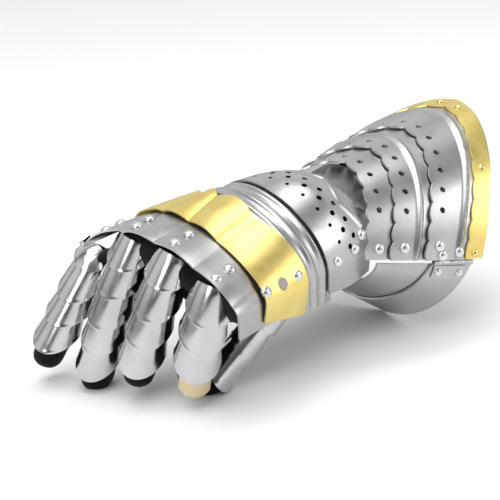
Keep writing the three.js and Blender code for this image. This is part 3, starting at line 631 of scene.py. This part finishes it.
def inner_cuff():
    """The hinged inner cuff: its rear plate, its front plate, which laps under the rear one, and its leaf."""
    columns, rows = FINE["inner"]
    angles = np.linspace(INNER["start"], 360 - INNER["start"], columns)
    rear = INNER["rear"] - INNER["rear_hollow"] * np.sin(INNER["rear_waves"] * from_bottom(angles))
    seam = INNER["seam"] - INNER["seam_hollow"] * np.sin(INNER["seam_waves"] * from_bottom(angles))
    mesh = Mesh()
    patch(mesh, cuff_point, angles, spread(seam, rear, rows), INNER["offset"], STEEL)
    mesh.make("inner_cuff_rear_plate", [inner_steel], INNER_BODY, ["inner_cuff_rear"], "steel")

    mesh = Mesh()
    stations = spread(INNER["front"], seam + INNER["lap"], rows)
    patch(mesh, cuff_point, angles, stations, INNER["offset"] - INNER["step"], STEEL)
    mesh.make("inner_cuff_front_plate", [inner_steel], INNER_BODY, ["inner_cuff_front"], "steel")

    outer = INNER["offset"] + LEAF["gap"] + LEAF["thickness"]
    angles = -(INNER["start"] + LEAF["clear"] + np.linspace(0, LEAF["width"], FINE["leaf"][0]))
    stations = np.broadcast_to(np.linspace(LEAF["start"], LEAF["end"], FINE["leaf"][1]), FINE["leaf"])
    mesh = Mesh()
    patch(mesh, cuff_point, angles, stations, outer, LEAF["thickness"])
    rivets(mesh, cuff_point, outer, LEAF["rivets"], SMALL_RIVET)
    mesh.make("hinge_leaf_plate", [steel, rivet_steel], INNER_BODY, ["hinge_leaf"], "steel")


def hinge_barrel():
    """A barrel of rolled knuckles with thin gaps between them."""
    start, end = (cuff_point(HINGE["angle"], HINGE[k], HINGE["offset"]) for k in ("start", "end"))
    length = np.linalg.norm(end - start)
    axis = (end - start) / length
    side = np.cross(axis, (0, 0, 1.0))
    side /= np.linalg.norm(side)
    other = np.cross(axis, side)
    profile = [(0.0, HINGE["end_part"])]
    for k in range(HINGE["knuckles"]):
        low, high = (length * (k + end) / HINGE["knuckles"] for end in (0, 1))
        profile += [(low + away, part) for away, part in KNUCKLE_ENDS]
        profile += [(high - away, part) for away, part in reversed(KNUCKLE_ENDS)]
    profile.append((length, HINGE["end_part"]))
    around = np.linspace(0, 2 * math.pi, FINE["barrel"], endpoint=False)
    points = np.array([start + axis * distance
                       + (side * math.cos(a) + other * math.sin(a)) * HINGE["radius"] * part
                       for distance, part in profile for a in around])
    mesh = Mesh()
    mesh.add(points, outwards(points, ring_faces(len(profile), FINE["barrel"]), start))
    mesh.make("hinge_knuckles", [steel], BODY, ["hinge_barrel"], "steel")


# ------------------------------------------------------------------ hand
def hand_rear(angle):
    return np.interp(np.abs(angle), *HAND_PLATE["rear_at"])


def wrist_lame():
    columns, rows = FINE["wrist"]
    angles = np.linspace(-WRIST_LAME["reach"], WRIST_LAME["reach"], columns)
    stations = spread(WRIST_LAME["rear"], hand_rear(angles) + WRIST_LAME["lap"], rows)
    crest = np.interp(np.abs(angles), *WRIST_LAME["ridge_at"])[:, None]
    lift = WRIST_LAME["ridge"] * hump(stations - crest, WRIST_LAME["ridge_half"])
    mesh = Mesh()
    patch(mesh, hand_point, angles, stations, HAND_LAYER["wrist"], STEEL, lift)
    mesh.make("wrist_lame", [steel], BODY, ["wrist_plate"], "steel")


def hand_plate():
    """The pierced plate over the back of the hand, with a low ridge along its rear edge."""
    columns, rows = FINE["hand"]
    angles = np.linspace(*HAND_PLATE["sides"], columns)
    rear = hand_rear(angles)
    stations = spread(rear, HAND_PLATE["front"], rows)
    ridge = HAND_PLATE["ridge"] * np.maximum(1 - (angles / HAND_PLATE["ridge_reach"]) ** 2, 0)[:, None]
    half = HAND_PLATE["ridge_half"]
    lift = ridge * hump(stations - rear[:, None] - half, half)
    holes = [(angle, station + HOLE_SLANT * angle / 90 + HOLE_SWEEP * abs(angle) / 90, radius)
             for station, last, radius in HOLE_ROWS for angle in range(-last, last + 1, HOLE_STEP)]
    mesh = Mesh()
    patch(mesh, hand_point, angles, stations, HAND_LAYER["hand"], STEEL, lift, holes)
    rivets(mesh, hand_point, HAND_LAYER["hand"], both_sides(HAND_PLATE["rivets"]))
    mesh.make("back_of_hand_plate", [steel, rivet_steel], BODY, ["hand_plate"], "steel")


def fluted_lame():
    angles = np.linspace(*FLUTED_LAME["sides"], FINE["fluted"][0])
    stations = np.broadcast_to(np.linspace(*FLUTED_LAME["stations"], FINE["fluted"][1]), FINE["fluted"])
    lift = sum(FLUTED_LAME["ridge"] * hump(stations - peak, half) for peak, half in FLUTED_LAME["peaks"])
    mesh = Mesh()
    patch(mesh, hand_point, angles, stations, HAND_LAYER["fluted"], STEEL, lift)
    mesh.make("ridged_lame", [steel], BODY, ["fluted_lame"], "steel")


def lobed(plate, offset, thickness):
    """A plate of lobes between creases, which bulge least at the rear edge."""
    steps, rows = FINE["lobe"]
    count = len(plate["rear"]) - 1
    lobe = np.minimum(np.arange(count * steps + 1) // steps, count - 1)
    within = (np.arange(count * steps + 1) / steps - lobe)[:, None]
    t = np.linspace(0, 1, rows + 1)[None, :]
    rear, front = (np.array(plate[k], float) for k in ("rear", "front"))
    low = rear[lobe][:, None] * (1 - t) + front[lobe][:, None] * t
    high = rear[lobe + 1][:, None] * (1 - t) + front[lobe + 1][:, None] * t
    angle = low + (high - low) * within
    far = np.maximum((angle - FAR_SIDE["start"]) / FAR_SIDE["width"], 0)
    start = plate["start"] - plate["start_bow"] * bowed(within)
    end = (plate["end"] + plate["sweep"] * np.abs(angle) / 90 + plate["slant"] * angle / 90
           + plate["far_reach"] * far)
    stations = start + (end - start) * t
    bulge = np.where(lobe > 0, plate["bulge"], plate["first_bulge"])[:, None] * bowed(within)
    lift = bulge * (plate["rear_bulge"] + (1 - plate["rear_bulge"]) * t)
    outer = hand_point(angle, stations, offset + lift)
    inner = hand_point(angle, stations, offset + lift - thickness)
    mesh = Mesh()
    add_sheet(mesh, outer, inner, angle, stations)
    return mesh


def brass_plate():
    mesh = lobed(BRASS_PLATE, HAND_LAYER["brass"], BRASS)
    rivets(mesh, hand_point, PLATE_RIVET_AT, BRASS_PLATE["rivets"])
    rivets(mesh, hand_point, BRASS_PLATE["flat_rivet_at"], [BRASS_PLATE["flat_rivet"]], FLAT_RIVET,
           material=2, flat_top=True)
    mesh.make("brass_metacarpal", [brass, rivet_steel, dull_rivet], BODY, ["brass_plate"], "brass")


def knuckle_plate():
    mesh = lobed(KNUCKLE_PLATE, HAND_LAYER["knuckle"], STEEL)
    rivets(mesh, hand_point, HAND_LAYER["knuckle"] + PLATE_RIVET_AT, KNUCKLE_PLATE["rivets"])
    mesh.make("knuckle_lame", [steel, rivet_steel], BODY, ["knuckle_plate"], "steel")


# ------------------------------------------------------------------ fingers
def arc_plate(finger, start, end, reach, columns, radii):
    """A half-round plate along a finger, whose front edge is drawn forwards to a rounded end."""
    angles = np.linspace(-reach, reach, columns)
    parts = np.linspace(0, 1, len(radii))
    stations = start + (end - start) * parts
    theta = np.radians(angles)[:, None]
    outer, inner = (np.zeros((columns, len(radii), 3)) for _ in range(2))
    for j, (t, part, radius) in enumerate(zip(stations, parts, radii)):
        ahead, across, up = finger_axes(finger, t)
        ray = across * np.sin(theta) + up * np.cos(theta)
        back = ahead * (-finger["bulge"] * part * (1 - np.cos(theta)))
        centre = finger_spine(finger, t) - up * finger["radius"]
        outer[:, j] = centre + ray * radius + back
        inner[:, j] = centre + ray * (radius - SCALE_STEEL) + back
    mesh = Mesh()
    add_sheet(mesh, hand_world(outer), hand_world(inner), *np.meshgrid(angles, stations, indexing="ij"),
              degree=FINGER_DEGREE)
    return mesh


def finger_scales():
    columns, rows = FINE["scale"]
    parts = np.linspace(0, 1, rows + 1)
    lip = SCALE["lip"] * hump(parts - SCALE["lip_at"], SCALE["lip_half"])
    for name, finger in FINGERS.items():
        for k, front in enumerate(finger["ends"]):
            rear = finger["ends"][k - 1] - SCALE["lap"] if k else finger["start"]
            tuck = SCALE["tuck" if k else "first_tuck"]
            radii = finger["radius"] - tuck * (1 - parts) + lip
            mesh = arc_plate(finger, rear, front, SCALE["reach"], columns, radii)
            node = f"{name}_scale_{k + 1}"
            mesh.make(node + "_steel", [scale_steel], BODY, [node], "steel")
    finger = FINGERS["index"]
    columns, rows = FINE["tip"]
    radii = np.full(rows + 1, finger["radius"] - INDEX_TIP["inset"])
    mesh = arc_plate(finger, INDEX_TIP["start"], INDEX_TIP["end"], INDEX_TIP["reach"], columns, radii)
    mesh.make("index_tip_plate", [pale_brass], BODY, ["index_tip"], "pale_brass")


# ------------------------------------------------------------------ glove
def tube(rings):
    """Closed tube through rings of points."""
    points = np.concatenate(rings)
    return points, outwards(points, ring_faces(len(rings), len(rings[0])), points.mean(0))


def finger_rings(finger):
    """Rings of a glove finger under its scales, closed by a rounded tip."""
    sides, rows = FINE["glove_finger"]
    start, tip = GLOVE_FINGER["start"], GLOVE_FINGER["tip"]
    end = finger["ends"][-1] + GLOVE_FINGER["past_scales"]
    stations = [(start + (end - tip - start) * k / rows, 1.0) for k in range(rows + 1)]
    stations += [(end - tip + tip * math.sin(a), math.cos(a) ** GLOVE_FINGER["tip_power"])
                 for a in np.radians(GLOVE_FINGER["tip_turns"])]
    theta = np.linspace(0, 2 * math.pi, sides, endpoint=False)[:, None]
    rings = []
    for t, shrink in stations:
        held = max(t, 0)
        ahead, across, up = finger_axes(finger, held)
        centre = finger_spine(finger, held) + ahead * (t - held) - up * finger["radius"]
        half = (finger["radius"] - GLOVE_FINGER["inset"]) * shrink
        palm = (finger["radius"] + GLOVE_FINGER["pad"]) * shrink
        depth = np.where(np.cos(theta) > 0, half, palm)
        rings.append(hand_world(centre + across * half * np.sin(theta) + up * depth * np.cos(theta)))
    return rings


def hand_rings():
    """Rings of the glove's hand under the plates, narrower at the wrist and drawn in at the knuckles."""
    sides, rows = FINE["glove_hand"]
    start, end = GLOVE_HAND["rear"], GLOVE_HAND["front"]
    stations = [(start + (end - GLOVE_HAND["taper"] - start) * k / rows, 0.0) for k in range(rows + 1)]
    stations += [(end - before, shrink) for before, shrink in GLOVE_HAND["closing"]]
    theta = np.linspace(0, 2 * math.pi, sides, endpoint=False)
    rings = []
    for s, shrink in stations:
        tucked = min(max((GLOVE_HAND["tuck_end"] - s) / GLOVE_HAND["tuck_width"], 0), 1)
        offset = HAND_LAYER["glove"] - shrink - GLOVE_HAND["tucked"] * tucked
        top, centre, palm = along(TOP_LINE, s), along(WIDE_LINE, s), along(PALM, s) - shrink
        depth = np.where(np.cos(theta) > 0, top - centre + offset, palm)
        across = along(SHIFT, s) - (along(HALF_WIDTH, s) + offset) * np.sin(theta)
        rings.append(hand_world(np.stack([np.full(sides, -s), across, centre + depth * np.cos(theta)], -1)))
    return rings


def bridge_rings(stops, radius):
    """Suede between fingers: a roll through the middle of each finger named, at the station given."""
    sides, rows = FINE["bridge"]
    path = []
    for name, t in stops:
        ahead, _, up = finger_axes(FINGERS[name], t)
        path.append(np.array([finger_spine(FINGERS[name], t) - up * FINGERS[name]["radius"], ahead, up]))
    theta = np.linspace(0, 2 * math.pi, sides, endpoint=False)[:, None]
    last = len(stops) - 1
    rings = []
    for place in np.linspace(0, last, rows * last + 1):
        k = min(int(place), last - 1)
        centre, ahead, up = path[k] + (path[k + 1] - path[k]) * (place - k)
        rings.append(hand_world(centre + (ahead * np.cos(theta) + up * np.sin(theta)) * radius))
    return rings


def apply_modifiers(piece):
    """Replaces the mesh by the one that its modifiers make."""
    bpy.context.view_layer.update()
    graph = bpy.context.evaluated_depsgraph_get()
    made = bpy.data.meshes.new_from_object(piece.evaluated_get(graph))
    piece.modifiers.clear()
    piece.data = made


def glove():
    """One sewn glove: palm and fingers joined, hollow, flattened where it rests, with folds at the joints."""
    shapes = Mesh()
    for rings in (hand_rings(), *map(finger_rings, FINGERS.values()),
                  *(bridge_rings(stops, radius) for stops, radius in BRIDGES)):
        shapes.add(*tube(rings))
    piece = link("black_glove", shapes.data("glove"))
    remesh = piece.modifiers.new("join", "REMESH")
    remesh.mode = "VOXEL"
    remesh.voxel_size = GLOVE_VOXEL / 1000
    smooth = piece.modifiers.new("ease", "SMOOTH")
    smooth.factor, smooth.iterations = EASE["factor"], EASE["rounds"]
    apply_modifiers(piece)
    mouth = hand_world(np.array([GLOVE_HAND["mouth"], 0, 0]))
    axis = HAND_TURN @ np.array([1.0, 0, 0])
    work = bmesh.new()
    work.from_mesh(piece.data)
    rear = [f for f in work.faces if (np.array(f.calc_center_median()) * 1000 - mouth) @ axis > 0]
    bmesh.ops.delete(work, geom=rear, context="FACES")
    work.normal_update()
    for vertex in work.verts:
        local = (np.array(vertex.co) * 1000 - ORIGIN - np.array(HAND["position"])) @ HAND_TURN
        shake = noise.fractal(Vector(local * FOLDS["shake_scale"]), 1.0, 2.0, FOLDS["octaves"])
        fold = math.sin(local[0] * FOLDS["waves"] + FOLDS["drift"] * shake)
        lift = FOLDS["shake"] * shake + FOLDS["depth"] * fold - FOLDS["sunk"]
        vertex.co += vertex.normal * (lift / 1000)
        vertex.co.z = max(vertex.co.z, 0.0)
    work.to_mesh(piece.data)
    work.free()
    wall = piece.modifiers.new("wall", "SOLIDIFY")
    wall.thickness, wall.offset = GLOVE_WALL / 1000, -1
    apply_modifiers(piece)
    piece.data.materials.append(black_suede)
    piece.data.polygons.foreach_set("use_smooth", [True] * len(piece.data.polygons))
    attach(piece, BODY)
    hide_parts("glove_hand", *(f"glove_{name}" for name in FINGERS))


# ------------------------------------------------------------------ the object
for lame_name, lame_sizes in LAMES.items():
    cuff_lame(lame_name, lame_sizes)
brass_band()
inner_cuff()
hinge_barrel()
wrist_lame()
hand_plate()
fluted_lame()
brass_plate()
knuckle_plate()
finger_scales()
glove()
# The clasp is a plain tab, and shows as the frame's own node
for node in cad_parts.values():
    if not node.hide_render:
        node.data.materials.clear()
        node.data.materials.append(steel)


# ------------------------------------------------------------------ the studio
def floor():
    made = Nodes(bpy.data.materials.new("pale_floor"))
    made.set(Base_Color=(0.86, 0.86, 0.86, 1), Roughness=0.75)
    mesh = bpy.data.meshes.new("floor")
    corners = [(x * FLOOR_HALF, y * FLOOR_HALF, 0) for x, y in ((-1, -1), (1, -1), (1, 1), (-1, 1))]
    mesh.from_pydata(corners, [], [(0, 1, 2, 3)])
    mesh.materials.append(made.owner)
    plane = link("floor", mesh)


def area_light(name, place, target, size, power):
    data = bpy.data.lights.new(name, "AREA")
    data.shape = "RECTANGLE"
    data.size, data.size_y = size
    data.energy = power
    lamp = link(name, data)
    lamp.location = place
    lamp.rotation_euler = (Vector(target) - Vector(place)).to_track_quat("-Z", "Y").to_euler()


def skylight():
    data = bpy.data.lights.new("skylight", "SUN")
    data.energy, data.angle = SKYLIGHT["energy"], math.radians(SKYLIGHT["spread"])
    link("skylight", data).rotation_euler = (*(math.radians(angle) for angle in SKYLIGHT["lean"]), 0)


def greys(stops):
    return [(position, (grey, grey, grey)) for position, grey in stops]


def tent():
    """The world as a light tent: white all round, dimmer at the horizon, with a dark opening on one side."""
    made = Nodes(bpy.data.worlds.new("studio"))
    direction = made.source.outputs["Generated"]
    height = made.node("ShaderNodeSeparateXYZ", {"Vector": direction}).outputs["Z"]
    azimuth = math.radians(CAMERA["azimuth"])
    opening = (math.sin(azimuth), -math.cos(azimuth), 0)
    facing = made.node("ShaderNodeVectorMath", {0: direction, 1: opening}, operation="DOT_PRODUCT")
    part = made.node("ShaderNodeMath", {0: facing.outputs["Value"], 1: 0.5, 2: 0.5},
                     operation="MULTIPLY_ADD")
    links = {"Factor": 1.0, 6: made.ramp(height, greys(TENT_HEIGHT)),
             7: made.ramp(part.outputs["Value"], greys(TENT_ROUND))}
    both = made.node("ShaderNodeMix", links, data_type="RGBA", blend_type="MULTIPLY")
    back = made.tree.nodes["Background"]
    made.feed(back.inputs["Color"], both.outputs[2])
    back.inputs["Strength"].default_value = TENT_STRENGTH
    bpy.context.scene.world = made.owner


def camera():
    data = bpy.data.cameras.new("camera")
    data.sensor_width, data.lens = CAMERA["sensor"], CAMERA["lens"]
    data.clip_start, data.clip_end = CAMERA["clip"]
    eye = link("camera", data)
    azimuth, elevation, roll = (math.radians(CAMERA[k]) for k in ("azimuth", "elevation", "roll"))
    level = Vector((math.sin(azimuth), -math.cos(azimuth), 0))
    back = level * math.cos(elevation) + Vector((0, 0, math.sin(elevation)))
    right = Vector((math.cos(azimuth), math.sin(azimuth), 0))
    up = Vector((0, 0, math.cos(elevation))) - level * math.sin(elevation)
    turned_right = right * math.cos(roll) + up * math.sin(roll)
    turned_up = up * math.cos(roll) - right * math.sin(roll)
    axes = Matrix((turned_right, turned_up, back)).transposed().to_4x4()
    eye.matrix_world = Matrix.Translation(Vector((ORIGIN + np.array(CAMERA["place"])) / 1000)) @ axes
    bpy.context.scene.camera = eye


floor()
tent()
for light in AREA_LIGHTS:
    area_light(*light)
skylight()
camera()
bpy.context.scene.view_settings.view_transform = "Standard"
